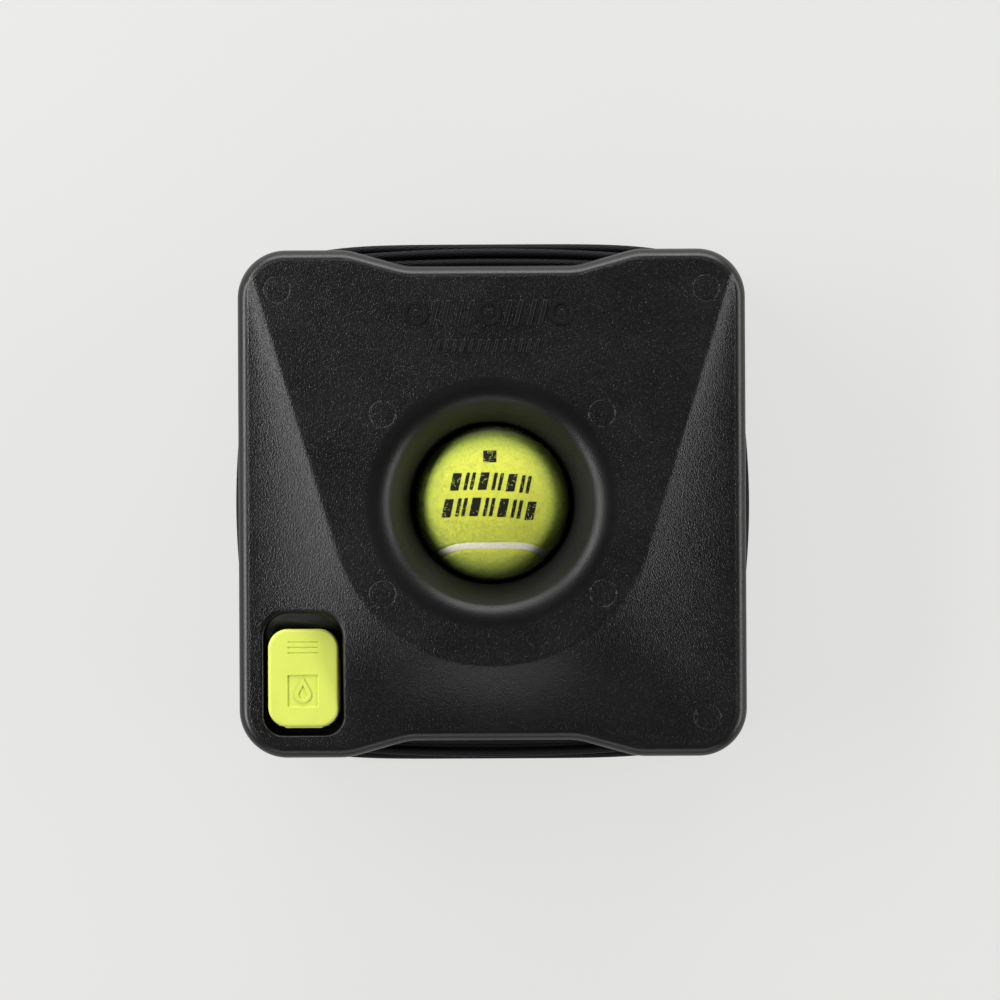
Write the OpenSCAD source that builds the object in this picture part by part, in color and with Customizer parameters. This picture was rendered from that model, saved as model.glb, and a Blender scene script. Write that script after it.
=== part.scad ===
// Tennis trainer base: a weighted square spool that a ball is tethered to with elastic cord.
// The ball is stored in a round recess, and the cord is wound in the groove round the waist.
// Origin: centre of the footprint on the ground. +Z up, +Y towards the edge that the fan widens to.

/* [Body] */
// Side of the square cover
side = 216; // [212:1:224]
// Plan radius of the cover's corners
corner_r = 20.5; // [16:0.5:24]
// Wall thickness of the moulded shells
wall = 2.5; // [2:0.1:3]
// Depth of the two shallow notches that show the wound cord
notch_depth = 7; // [4:0.5:8]
// Half-length of a notch's straight bottom
notch_flat = 36; // [24:1:44]
// Half-length of a notch where its slanted ends meet the straight edge
notch_end = 61.5; // [56:0.5:72]
// Width of the chamfer round the cover's rim
rim = 4; // [3:0.5:5]

/* [Heights] */
// Height of the rubber feet under the tray
foot_h = 2; // [1.5:0.5:4]
// Top of the lower tray, where the lower flange lies
tray_z = 31.5; // [28:0.5:32]
// Top of the lower flange, the groove's floor
groove_z0 = 34; // [33:0.5:35]
// Underside of the upper flange, the groove's roof
groove_z1 = 56; // [55:0.5:56]
// Level of the cover just inside its rim
rim_z = 67.5; // [67:0.5:70]
// Level of the fan-shaped plateau over the ball's axis
fan_z = 75; // [74:0.5:77]
// Fall of the plateau per millimetre towards +Y
fan_slope = 0.055; // [0.03:0.005:0.06]

/* [Fan] */
// Radius of the plateau's round end
fan_r = 68.5; // [66:0.5:72]
// Angle of the plateau's straight creases from the Y axis
crease_angle = 17.3; // [15:0.1:18]
// How hollow the flanks are: 1 is flat
flank_power = 1.7; // [1.2:0.1:2]

/* [Ball] */
// Radius of the ball over its felt
ball_r = 33; // [32.7:0.1:33.4]
// Thickness of the felt
felt_t = 3; // [2.5:0.5:3.5]
// Thickness of the rubber shell
rubber_t = 3.5; // [3:0.5:4]
// Height of the stored ball's centre
ball_z = 44.5; // [44:0.5:46]

/* [Recess] */
// Radius of the recess's mouth
mouth_r = 35.2; // [35:0.1:36]
// Gap between the ball and its seat
seat_gap = 0.3; // [0.2:0.1:0.6]
// Radius of the well under the seat
well_r = 18; // [16:0.5:20]

/* [Filler cap] */
// Centre of the filler pocket, across
pocket_x = -80.4; // [-81:0.1:-79]
// Centre of the filler pocket, along
pocket_y = -72.5; // [-73:0.1:-71]
// Width of the pocket
pocket_w = 34.8; // [34:0.1:36]
// Length of the pocket
pocket_l = 53.3; // [52:0.1:54]
// Width of the cap
cap_w = 30.3; // [29:0.1:31]
// Length of the cap
cap_l = 41.8; // [41:0.1:42]
// Plan radius of the cap's corners
cap_r = 8.3; // [7:0.1:9]
// Top of the cap
cap_z = 68; // [67.8:0.1:68.4]

/* [Cord] */
// Diameter of the elastic cord
cord_d = 3; // [2.5:0.5:3]
// Half-width of the drum that the cord is wound on
drum_half = 97.5; // [97:0.5:98]

/* [Hidden] */
$fn = 64;

black = "#242424";
lime = "#e4ed6c";
steel = "#b8bcc0";
half = side / 2;
tray_half = half - 1;
tray_r = corner_r - 1;
upper_z = groove_z1 + wall;       // top of the upper flange, where the cover sits
floor_z = foot_h + wall;          // inside floor of the tray
tilt = -atan(fan_slope);          // tilt of the plateau about X
notch_round = 0.14;               // share of a notch's slanted end that is rounded

// Screws: four in the corners, four round the recess
boss_r = 5.5;
corner_at = 91;
cup_boss_x = 46.5;
cup_boss_y = 38;
screw_r = 1.9;
hole_r = 2.2;
long_tip = 64;                    // tips of the screws that reach the cover
short_tip = 54;                   // tip of the one under the pocket

// Cup flange
cup_flange_z = 55;
cup_flange_r = 66;
cup_top = cup_flange_z + wall;

// Tank and its neck, which stands over a round lobe of the tank
tank_half = 93;
tank_corner = 37;
tank_top = 42;
tank_hole = 47;
tank_wall = 2;
tank_gap = 1;                     // between the tank and the flanges' opening
neck_x = -80.5;
neck_y = -79;
neck_r = 8.5;
neck_bore = 6.5;
neck_top = 64;
spigot_r = 7.4;                   // end of the neck that sits in the lid

// Filler cap: its hinge lies under its lower end
cap_x = -80.3;
cap_y = -74.5;
cap_t = 1.5;                      // thickness of the cap's top
cap_skirt = 62.2;                 // lower edge of the cap's skirt
tab_y = -67.3;                    // the cap beyond this line is a plain tab
pocket_floor = 59.5;
pin_r = 1;
pin_y = -92.2;
pin_z = 64.2;
knuckle_r = 2.2;

// Cord
anchor_x = 100.6;                 // the cord's inner end comes up through the lower flange here
anchor_y = -70;
anchor_low = 21;                  // lower end of the ferrule on that end
grommet_r = 2.6;
collar_r = 3.6;
collar_t = 1.5;
winding_z0 = 42;
winding_z1 = 55.5;
winding_in = 6.2;                 // thickness of the winding at the drum's corners
winding_bow_x = 7;                // how far it bulges at the middle of the two X sides
winding_bow_y = 7.6;              // and of the two Y sides
post_r = 6.5;                     // plan radius of the drum's corners
hook_t = 4.4;                     // thickness of the snap hook

// ---- outlines ----

// A ramp from 0 to 1 with rounded ends, b long to each side
function ramp(t, b) = t < -b ? 0
    : t < b ? pow(t + b, 2) / (4 * b)
    : t < 1 - b ? t
    : t < 1 + b ? 1 - pow(1 + b - t, 2) / (4 * b) : 1;

function turned(p) = [for (i = [len(p) - 1:-1:0]) p[i]];
function flip_x(p) = [for (q = p) [-q[0], q[1]]];
function flip_y(p) = [for (q = p) [q[0], -q[1]]];
function tail(p) = [for (i = [1:len(p) - 1]) p[i]];
function body(p) = [for (i = [0:len(p) - 2]) p[i]];

// All four quarters of an outline from its first quarter, which runs from +X to +Y
function four(q) = concat(q, tail(turned(flip_x(q))), tail(flip_x(flip_y(q))), body(tail(turned(flip_y(q)))));

// Point of a notch's edge, t of the way down its slanted end
function notch_point(t) =
    [notch_end - t * (notch_end - notch_flat), half - notch_depth * ramp(t, notch_round)];

cover_quarter = concat(
    [for (y = [0, 24, 48, 70]) [half, y]],
    [for (a = [0:22.5:90]) [half - corner_r + corner_r * cos(a), half - corner_r + corner_r * sin(a)]],
    [for (t = [0, 1]) for (i = [-1:1]) notch_point(t + i * notch_round)],
    [[0, half - notch_depth]]);
cover_outline = four(cover_quarter);

// Distance from the ball's axis to the edge of the plateau, in direction a
function fan_reach(a) =
    let (dot = abs(cos(a)) * cos(crease_angle) - sin(a) * sin(crease_angle))
    sin(a) < -sin(crease_angle) ? fan_r : fan_r / max(dot, 0.2);

function fan_level(y) = fan_z - fan_slope * y;

// One ring of the cover's skin. s runs from 0 at the plateau's edge to 1 at the rim.
function skin_ring(s, inset, lower) = [for (p = cover_outline)
    let (a = atan2(p[1], p[0]), far = norm(p) - rim - inset)
    let (near = min(fan_reach(a), far - 1.5), r = near + s * (far - near))
    let (rise = fan_level(near * sin(a)) - rim_z)
    [r * cos(a), r * sin(a), rim_z + rise * pow(1 - s, flank_power) - lower]];

// The cover's outline drawn in towards the centre, flat and as a ring at height z
function wall_outline(inset) = [for (p = cover_outline) p * (1 - inset / norm(p))];
function wall_ring(z, inset) = [for (q = wall_outline(inset)) [q[0], q[1], z]];

// A closed solid through rings of equal length, from the lowest to the highest. Each end is
// closed by triangles that meet on the axis.
module loft(rings) {
    n = len(rings[0]);
    last = (len(rings) - 1) * n;
    hub = len(rings) * n;
    polyhedron(
        points = concat(
            [for (ring = rings) each ring],
            [for (k = [0, len(rings) - 1]) [0, 0, rings[k][0][2]]]),
        faces = concat(
            [for (i = [0:n - 1]) [hub, i, (i + 1) % n]],
            [for (i = [0:n - 1]) [hub + 1, last + (i + 1) % n, last + i]],
            [for (k = [0:len(rings) - 2]) for (i = [0:n - 1]) for (up = [0, 1])
                let (a = k * n + i, b = k * n + (i + 1) % n)
                up ? [a, a + n, b + n] : [a, b + n, b]]));
}

// The cover's outer form, or its hollow when it is inset and lowered
module cover_form(inset, lower, bottom) {
    loft([
        wall_ring(bottom, inset),
        wall_ring(rim_z - rim - lower, inset),
        for (s = [1, 0.6, 0.25, 0]) skin_ring(s, inset, lower)]);
}

// ---- shared shapes ----

// A square plate with round corners, from height z0 to z1
module plate(h, r, z0, z1) {
    translate([-h, r - h, z0]) cube([2 * h, 2 * (h - r), z1 - z0]);
    translate([r - h, -h, z0]) cube([2 * (h - r), 2 * h, z1 - z0]);
    for (x = [-1, 1], y = [-1, 1])
        translate([x * (h - r), y * (h - r), z0]) cylinder(r = r, h = z1 - z0);
}

// A rectangular block with round corners, centred on x, y
module block(x, y, w, l, r, z0, z1) {
    translate([x - w / 2, y - l / 2 + r, z0]) cube([w, l - 2 * r, z1 - z0]);
    translate([x - w / 2 + r, y - l / 2, z0]) cube([w - 2 * r, l, z1 - z0]);
    for (i = [-1, 1], j = [-1, 1])
        translate([x + i * (w / 2 - r), y + j * (l / 2 - r), z0]) cylinder(r = r, h = z1 - z0);
}

module post(x, y, r, z0, z1) {
    translate([x, y, z0]) cylinder(r = r, h = z1 - z0);
}

// A bar along X, centred on x
module rod(x, y, z, r, length) {
    translate([x - length / 2, y, z]) rotate([0, 90, 0]) cylinder(r = r, h = length);
}

module at_corners(at) {
    for (x = [-1, 1], y = [-1, 1]) translate([x * at, y * at, 0]) children();
}

module at_cup_bosses() {
    for (x = [-1, 1], y = [-1, 1]) translate([x * cup_boss_x, y * cup_boss_y, 0]) children();
}

// ---- shells ----

// Lower tub with four screw bosses, each counterbored from below
module base_tray() {
    color(black) difference() {
        union() {
            difference() {
                plate(tray_half, tray_r, foot_h, tray_z);
                plate(tray_half - wall, tray_r - wall, floor_z, tray_z + 1);
            }
            at_corners(corner_at) post(0, 0, boss_r, foot_h, tray_z);
        }
        at_corners(corner_at) {
            post(0, 0, hole_r, foot_h - 1, tray_z + 1);
            post(0, 0, 3.9, foot_h - 1, 10);
        }
        for (x = [-1, 1], y = [-1, 1]) post(x * 86, y * 62, 3, foot_h - 1, floor_z + 1);
    }
}

// Opening of both flanges, which the tank passes through, and their screw holes
module flange_space(z0, z1) {
    plate(tank_half + tank_gap, tank_corner - tank_gap, z0 - 1, z1 + 1);
    post(neck_x, neck_y, neck_r + 0.5, z0 - 1, z1 + 1);
    at_corners(corner_at) post(0, 0, hole_r, z0 - 1, z1 + 1);
}

// Frame plate that closes the groove from below
module lower_flange() {
    color(black) difference() {
        plate(tray_half, tray_r, tray_z, groove_z0);
        flange_space(tray_z, groove_z0);
        post(anchor_x, anchor_y, grommet_r, tray_z - 1, groove_z0 + 1);
    }
}

// Frame plate that closes the groove from above, notched like the cover
module upper_flange() {
    color(black) difference() {
        translate([0, 0, groove_z1]) linear_extrude(wall) polygon(wall_outline(0.5));
        flange_space(groove_z1, upper_z);
    }
}

// Square tube between the flanges that the cord is wound on, with posts in its corners
module winding_drum() {
    color(black) difference() {
        union() {
            difference() {
                plate(drum_half, post_r, groove_z0, groove_z1);
                plate(drum_half - wall, post_r - wall, groove_z0 - 1, groove_z1 + 1);
            }
            at_corners(corner_at) post(0, 0, post_r, groove_z0, groove_z1);
        }
        for (x = [-1, 1]) post(x * corner_at, corner_at, hole_r, groove_z0 - 1, groove_z1 + 1);
        post(corner_at, -corner_at, hole_r, groove_z0 - 1, groove_z1 + 1);
        post(-corner_at, -corner_at, screw_r, groove_z0 - 1, short_tip + 1);
    }
}

// Fan-shaped top shell with the funnel round the ball, and the pocket for the filler cap
module top_cover() {
    color(black) difference() {
        union() {
            difference() {
                cover_form(0, 0, upper_z);
                cover_form(wall, wall, upper_z - 1);
                translate([0, 0, fan_z]) rotate([tilt, 0, 0]) cylinder(r = 50, h = 40, center = true);
            }
            difference() {
                translate([0, 0, fan_z]) rotate([tilt, 0, 0]) funnel();
                translate([0, 0, cup_top - 20]) cylinder(r = 60, h = 20);
            }
            block(pocket_x, pocket_y, pocket_w + 2 * wall, pocket_l + 2 * wall, 10.5, upper_z, 66.2);
            for (x = [-1, 1]) post(x * corner_at, corner_at, boss_r, upper_z, fan_level(corner_at) - 1);
            post(corner_at, -corner_at, boss_r, upper_z, rim_z - 1);
            for (x = [-1, 1], y = [-1, 1])
                post(x * cup_boss_x, y * cup_boss_y, boss_r, cup_top, fan_level(y * cup_boss_y + boss_r) - 1);
        }
        pocket_space();
        for (x = [-1, 1]) post(x * corner_at, corner_at, screw_r, upper_z - 1, long_tip + 1);
        post(corner_at, -corner_at, screw_r, upper_z - 1, long_tip + 1);
        at_cup_bosses() post(0, 0, screw_r - 0.3, cup_top - 1, cup_top + 9);
        post(neck_x, neck_y, neck_r + 0.2, upper_z - 1, pocket_floor + 1);
    }
    color(black) hinge_lugs();
}

// Skin of the funnel, in the plateau's own frame: zero is the plateau's surface
module funnel() {
    rotate_extrude() polygon([
        [51.5, -0.7], [48.5, -1.1], [46, -2.6], [43.5, -5], [mouth_r, -14], [mouth_r, -22],
        [mouth_r + wall, -22], [mouth_r + wall, -15], [46, -6.6], [48.5, -3.6], [51.5, -2.3]]);
}

// Hollow of the pocket: a flat floor, and a slope up to the finger scoop
module pocket_space() {
    top = pocket_y + pocket_l / 2;
    difference() {
        block(pocket_x, pocket_y, pocket_w, pocket_l, 8, pocket_floor, 90);
        translate([pocket_x - pocket_w, 0, 0]) rotate([90, 0, 90]) linear_extrude(2 * pocket_w)
            polygon([[top + 1, pocket_floor - 1], [top + 1, 66.5], [top - 1, 66], [top - 11, pocket_floor - 1]]);
    }
}

// Two lugs on the pocket's floor that hold the hinge pin under the cap
module hinge_lugs() {
    difference() {
        for (x = [-1, 1]) {
            rod(cap_x + x * 5.5, pin_y, pin_z, knuckle_r, 3);
            translate([cap_x + x * 5.5 - 1.5, pin_y - 1, pocket_floor - 0.5])
                cube([3, knuckle_r + 1, pin_z - pocket_floor + 0.5]);
        }
        rod(cap_x, pin_y, pin_z, pin_r, 40);
    }
}

// Cup under the cover: a spherical seat for the ball, a well under it, and a screw flange
module ball_cup() {
    seat = ball_r + seat_gap;
    a0 = acos(well_r / seat);
    color(black) difference() {
        rotate_extrude() polygon(concat(
            [[0, floor_z + 2], [well_r, floor_z + 2]],
            [for (i = [0:12]) let (a = a0 * (1 - i / 12)) [seat * cos(a), ball_z - seat * sin(a)]],
            [[mouth_r, ball_z + 3], [mouth_r, cup_top], [cup_flange_r, cup_top]],
            [[cup_flange_r, cup_flange_z], [mouth_r + wall, cup_flange_z]],
            [for (i = [0:12]) let (a = a0 * i / 12) [(seat + wall) * cos(a), ball_z - (seat + wall) * sin(a)]],
            [[well_r + wall, floor_z], [0, floor_z]]));
        at_cup_bosses() post(0, 0, screw_r, cup_flange_z - 1, cup_top + 1);
    }
}

// Plan of the tank, drawn in by an inset: a square with wide corners and the neck's lobe
module tank_plan(inset, z0, z1) {
    plate(tank_half - inset, tank_corner - inset, z0, z1);
    post(neck_x, neck_y, neck_r - inset, z0, z1);
}

// Ring-shaped ballast tank, open at the top
module tank_shell() {
    rim_level = tank_top - tank_wall;
    color("#3a3a3c") difference() {
        tank_plan(0, floor_z, rim_level);
        difference() {
            tank_plan(tank_wall, floor_z + tank_wall, rim_level + 1);
            post(0, 0, tank_hole + tank_wall, floor_z, rim_level + 2);
        }
        post(0, 0, tank_hole, floor_z - 1, rim_level + 1);
    }
}

// Lid welded onto the tank's rim
module tank_lid() {
    color("#3a3a3c") difference() {
        tank_plan(0, tank_top - tank_wall, tank_top);
        post(0, 0, tank_hole, floor_z, tank_top + 1);
        post(neck_x, neck_y, spigot_r + 0.1, floor_z, tank_top + 1);
    }
}

// Tube from the lid up through the pocket's floor
module filler_neck() {
    color("#3a3a3c") difference() {
        union() {
            post(neck_x, neck_y, spigot_r, tank_top - tank_wall, tank_top + 1);
            post(neck_x, neck_y, neck_r, tank_top, neck_top);
        }
        post(neck_x, neck_y, neck_bore, tank_top - tank_wall - 1, neck_top + 1);
    }
}

// ---- filler cap ----

module filler_cap() {
    low = cap_y - cap_l / 2;
    color(lime) difference() {
        union() {
            difference() {
                block(cap_x, cap_y, cap_w, cap_l, cap_r, cap_skirt, cap_z);
                block(cap_x, cap_y, cap_w - 3.6, cap_l - 3.6, cap_r - 1.8, cap_skirt - 1, cap_z - cap_t);
                translate([cap_x - cap_w, tab_y, cap_skirt - 1])
                    cube([2 * cap_w, cap_l, cap_z - 2.2 - cap_skirt + 1]);
            }
            translate([cap_x - cap_w / 2 + 1, tab_y - 1.8, cap_skirt]) cube([cap_w - 2, 1.8, cap_z - cap_skirt - 1]);
            for (x = [-1, 1]) {
                rod(cap_x + x * 9, pin_y, pin_z, knuckle_r, 3.4);
                translate([cap_x + x * 9 - 1.7, pin_y - 1.2, pin_z]) cube([3.4, 2.4, cap_z - pin_z - 1]);
            }
        }
        rod(cap_x, pin_y, pin_z, pin_r + 0.05, 21);
        rod(cap_x, pin_y, pin_z, knuckle_r + 0.3, 14.6);
        translate([cap_x - 7.3, low - 1, cap_skirt - 1]) cube([14.6, pin_y - low + 1, cap_z - cap_t - cap_skirt + 1]);
        for (y = [-59.2, -61.7, -64.2]) translate([cap_x - 6.75, y - 0.35, cap_z - 0.5]) cube([13.5, 0.7, 1]);
        translate([cap_x - 7.3, low + 8.4, cap_z - 0.5]) cube([13.6, 13.9, 1]);
        cap_back_edge();
    }
}

// What the cap's lower edge loses to swing clear of the pocket's floor
module cap_back_edge() {
    low = cap_y - cap_l / 2;
    difference() {
        translate([cap_x - cap_w, low - 1, cap_z - 1.5]) cube([2 * cap_w, 2.5, 2]);
        rod(cap_x, low + 1.5, cap_z - 1.5, 1.5, 3 * cap_w);
    }
}

module cap_hinge_pin() {
    color(steel) rod(cap_x, pin_y, pin_z, pin_r, 20);
}

// Plug on the underside of the cap
module cap_stopper() {
    color("#55585a") post(neck_x, neck_y, 6, 62, cap_z - cap_t);
}

// Flat ring that closes on the rim of the neck
module cap_seal() {
    color("#1c1c1c") difference() {
        post(neck_x, neck_y, 8.6, neck_top + 0.3, cap_z - cap_t);
        post(neck_x, neck_y, 6, neck_top, cap_z);
    }
}

// ---- feet and screws ----

module foot(x, y) {
    color("#161616") {
        post(x, y, 9, 0, foot_h);
        post(x, y, 3, foot_h - 0.5, floor_z);
    }
}

module foot_front_left() foot(-86, -62);
module foot_front_right() foot(86, -62);
module foot_rear_left() foot(-86, 62);
module foot_rear_right() foot(86, 62);

// Three long screws reach the cover; the one under the pocket ends in the drum
module corner_screws() {
    color(steel) for (x = [-1, 1], y = [-1, 1])
        translate([x * corner_at, y * corner_at, 0]) difference() {
            union() {
                post(0, 0, 3.6, 7.2, 10);
                post(0, 0, screw_r, 9, x + y == -2 ? short_tip : long_tip);
            }
            for (a = [0, 90]) rotate(a) translate([-2.4, -0.5, 6]) cube([4.8, 1, 2.4]);
        }
}

module cup_screws() {
    color(steel) at_cup_bosses() difference() {
        union() {
            post(0, 0, 3.2, cup_flange_z - 2.2, cup_flange_z);
            post(0, 0, screw_r - 0.3, cup_flange_z - 1, cup_top + 8);
        }
        for (a = [0, 90]) rotate(a) translate([-2, -0.4, cup_flange_z - 3]) cube([4, 0.8, 2]);
    }
}

// ---- ball ----

module ball_core() {
    color("#5a5a58") difference() {
        translate([0, 0, ball_z]) sphere(ball_r - felt_t);
        translate([0, 0, ball_z]) sphere(ball_r - felt_t - rubber_t);
        post(0, 0, 3, 0, ball_z);
    }
}

module ball_felt() {
    color("#dbe04e") difference() {
        translate([0, 0, ball_z]) sphere(ball_r);
        translate([0, 0, ball_z]) sphere(ball_r - felt_t);
        post(0, 0, 4.5, 0, ball_z);
    }
}

// Plug through the ball's skin with an eye under it for the cord's hook
module ball_eyelet() {
    south = ball_z - ball_r;
    color("#2c2c2e") difference() {
        union() {
            post(0, 0, 4.5, south + 0.4, south + felt_t + 0.1);
            post(0, 0, 3, south + felt_t, south + felt_t + rubber_t + 1);
            post(0, 0, 4.2, south + felt_t + rubber_t + 0.3, south + felt_t + rubber_t + 2);
            rod(0, 0, south, 3.8, 2.4);
        }
        rod(0, 0, south - 1.2, 1.7, 6);
    }
}

// ---- cord ----

function bulge_x(t) = winding_bow_x * pow(1 - t * t, 2);
function bulge_y(t) = winding_bow_y * (1 - pow(t, 4));

winding_half = drum_half + winding_in;
winding_r = post_r + winding_in;
winding_quarter = concat(
    [for (i = [0:7]) let (t = i / 8) [winding_half + bulge_x(t), t * corner_at]],
    [for (a = [0:15:90]) [corner_at + winding_r * cos(a), corner_at + winding_r * sin(a)]],
    [for (i = [7:-1:0]) let (t = i / 8) [t * corner_at, winding_half + bulge_y(t)]]);

// Outer shape of the wound cord: slack at the middle of each side, tight round the corners
module elastic_winding() {
    color("#2b2c2f") difference() {
        translate([0, 0, winding_z0]) linear_extrude(winding_z1 - winding_z0) polygon(four(winding_quarter));
        plate(drum_half, post_r, winding_z0 - 1, winding_z1 + 1);
    }
}

// Ferrule inside the tray that is crimped on the cord's inner end
module cord_anchor() {
    top = tray_z - collar_t;
    color(steel) difference() {
        post(anchor_x, anchor_y, collar_r, anchor_low, top);
        post(anchor_x, anchor_y, cord_d / 2, anchor_low + 2, top + 1);
    }
}

// Rubber sleeve in the lower flange where the cord comes out
module cord_grommet() {
    color("#161616") difference() {
        union() {
            post(anchor_x, anchor_y, grommet_r, tray_z - collar_t, groove_z0);
            post(anchor_x, anchor_y, collar_r, tray_z - collar_t, tray_z);
        }
        post(anchor_x, anchor_y, cord_d / 2, tray_z - 3, groove_z0 + 1);
    }
}

// Snap hook on the cord's free end, tucked into the groove under the winding
module end_hook() {
    x = 102.6;
    z = winding_z0 - hook_t / 2;
    color("#2c2c2e") difference() {
        union() {
            block(x, 50, 8.8, 24, 4.3, z - hook_t / 2, z + hook_t / 2);
            translate([x, 29, z]) rotate([-90, 0, 0]) cylinder(r = hook_t / 2, h = 11);
        }
        block(x, 50.5, 3.8, 17, 1.8, z - 3, z + 3);
        translate([x - 6, 43, z - 3]) cube([5, 1.2, 6]);
        translate([x, 28, z]) rotate([-90, 0, 0]) cylinder(r = cord_d / 2, h = 9);
    }
}

base_tray();
lower_flange();
winding_drum();
upper_flange();
top_cover();
ball_cup();
tank_shell();
tank_lid();
filler_neck();
filler_cap();
cap_hinge_pin();
cap_stopper();
cap_seal();
foot_front_left();
foot_front_right();
foot_rear_left();
foot_rear_right();
corner_screws();
cup_screws();
ball_core();
ball_felt();
ball_eyelet();
elastic_winding();
cord_anchor();
cord_grommet();
end_hook();
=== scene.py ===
import math

import bmesh
import bpy
import numpy as np
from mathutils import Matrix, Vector, noise
from mathutils.geometry import delaunay_2d_cdt


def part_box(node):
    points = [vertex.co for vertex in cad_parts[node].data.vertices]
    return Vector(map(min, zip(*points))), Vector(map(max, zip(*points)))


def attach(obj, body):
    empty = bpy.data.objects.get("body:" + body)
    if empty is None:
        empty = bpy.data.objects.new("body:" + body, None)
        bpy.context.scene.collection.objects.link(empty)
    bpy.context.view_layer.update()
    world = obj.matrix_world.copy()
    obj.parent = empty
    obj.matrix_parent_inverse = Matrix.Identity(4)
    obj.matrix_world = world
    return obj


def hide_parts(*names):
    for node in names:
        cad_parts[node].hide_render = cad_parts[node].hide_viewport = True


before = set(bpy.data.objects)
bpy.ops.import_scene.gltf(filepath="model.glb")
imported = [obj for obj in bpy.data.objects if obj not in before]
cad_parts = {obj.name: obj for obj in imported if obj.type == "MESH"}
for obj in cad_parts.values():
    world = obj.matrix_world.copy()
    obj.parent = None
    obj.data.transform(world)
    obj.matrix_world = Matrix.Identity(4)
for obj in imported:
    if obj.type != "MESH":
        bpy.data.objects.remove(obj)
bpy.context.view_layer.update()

MM = 0.001
RNG = np.random.default_rng(7)


def span(node):
    """Lowest and highest corner of a CAD node, in millimetres."""
    low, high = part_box(node)
    return np.array(low) / MM, np.array(high) / MM


# ---- dimensions ----

COVER_LOW, COVER_HIGH = span("top_cover")
HALF = COVER_HIGH[0]                     # half of the square cover's side
CORNER_R = 20.5                          # plan radius of its corners
NOTCH_DEPTH, NOTCH_FLAT, NOTCH_END, NOTCH_ROUND = 7, 36, 61.5, 0.14    # the front and rear notches
RIM_EDGE = 4.5                           # width of the rounded rim
RIM_Z = 67.5                             # level of the cover just inside its rim
RIM_LOW = 63                             # where the rim meets the side wall
FAN_Z, FAN_SLOPE, FAN_R = 75, 0.055, 68.5     # the plateau: middle height, slope, near radius
CREASE_ANGLE = math.radians(17.3)
CREASE_SOFT = 0.4                        # how round the crease is
FLANK_POWER = 1.7                        # how much the flank flattens towards the rim
FLANK_MIN = 6                            # the narrowest flank, at the fan's two far corners
SHELL_T = 2.2                            # thickness of the cover

DRUM_HALF = span("winding_drum")[1][0]
POST_R = 6.5                             # plan radius of the drum's corners
CORNER_AT = 91                           # the screws and the drum's corner posts
CUP_BOSS = (46.5, 38)                    # the screws that hold the cup, left and right of the ball
SINK_R, SINK_WIDTH, SINK_DEPTH = 5.6, 0.22, 0.13   # ring marks over the screw bosses

BALL_R = 33.2                            # with the felt's pile
BALL_Z = sum(corner[2] for corner in span("ball_felt")) / 2
MOUTH_R = 34.9                           # throat of the funnel
FUNNEL_R = 51.2                          # where the funnel's edge starts to turn down
FUNNEL_ROUND, CONE_ANGLE = 11.2, math.radians(47.3)

POCKET = (-80.4, -72.0, 34.0, 52.5, 8.4)      # centre, width, length and corner radius
SCOOP_R = 10.8                           # corner radius at the pocket's finger scoop
POCKET_FLOOR = 59.5
LIP = 0.9                                # rounding of the pocket's edge
NECK = (-80.5, -79)                      # middle of the filler neck
NECK_HOLE = 8.8                          # radius of its hole in the pocket's floor
CAP_X, CAP_Y, CAP_W, CAP_L, CAP_R = -80.45, -73.8, 30.0, 41.5, 8.3
CAP_SPAN = (CAP_X - CAP_W / 2, CAP_X + CAP_W / 2, CAP_Y - CAP_L / 2, CAP_Y + CAP_L / 2)
CAP_Z = span("filler_cap")[1][2]
TAB_Y = -66.6                            # where the cap's skirt ends and its finger tab begins
SKIRT_Z, HOLLOW_Z, TAB_Z = 62.2, 66.5, 65.8   # levels of the cap's underside
GROOVES = (-58.6, -60.9, -63.2)
BADGE = (CAP_X - 0.2, -79.3, 6.7, 6.9)   # centre and half sizes of the sunk square
PIN = (-92.2, 64.2)                      # y and z of the cap's hinge
KNUCKLE_R, KNUCKLE_X, LUG_X = 2.2, 9, 5.5     # hinge knuckles on the cap, lugs between them
LUG_SLOT = (8, 66.3)                     # half width and level of the gap that clears the lugs

CORD_R = 1.5


# ---- outlines and grids ----

def arc(cx, cy, r, a0, a1, n):
    a = np.radians(np.linspace(a0, a1, n))
    return np.stack([cx + r * np.cos(a), cy + r * np.sin(a)], 1)


def circle(cx, cy, r, n):
    return arc(cx, cy, r, 0, 360 * (1 - 1 / n), n)


def divided(outline, step):
    """The closed outline with extra points, so that none of its edges is longer than step."""
    out = []
    for p, q in zip(outline, np.roll(outline, -1, 0)):
        n = max(1, math.ceil(np.linalg.norm(q - p) / step))
        out.extend(p + (q - p) * i / n for i in range(n))
    return np.array(out)


def rounded(cx, cy, w, l, r, n=10, step=None):
    """Anticlockwise rectangle with round corners."""
    out = np.concatenate([
        arc(cx + sx * (w / 2 - r), cy + sy * (l / 2 - r), r, a0, a0 + 90, n)
        for sx, sy, a0 in ((1, -1, -90), (1, 1, 0), (-1, 1, 90), (-1, -1, 180))])
    return divided(out, step) if step else out


def inset(outline, d):
    """The closed outline moved in by d along its own normals."""
    def normal(edge):
        edge = edge / np.maximum(np.linalg.norm(edge, axis=1, keepdims=True), 1e-9)
        return np.stack([edge[:, 1], -edge[:, 0]], 1)
    n = normal(outline - np.roll(outline, 1, 0)) + normal(np.roll(outline, -1, 0) - outline)
    return outline - d * 2 * n / (n * n).sum(1, keepdims=True)


def inside(points, outline):
    """Which points lie inside the closed outline."""
    x, y = points[:, 0], points[:, 1]
    hit = np.zeros(len(points), bool)
    for (x0, y0), (x1, y1) in zip(outline, np.roll(outline, -1, 0)):
        if y0 != y1:
            hit ^= ((y0 > y) != (y1 > y)) & (x < (x1 - x0) * (y - y0) / (y1 - y0) + x0)
    return hit


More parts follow.
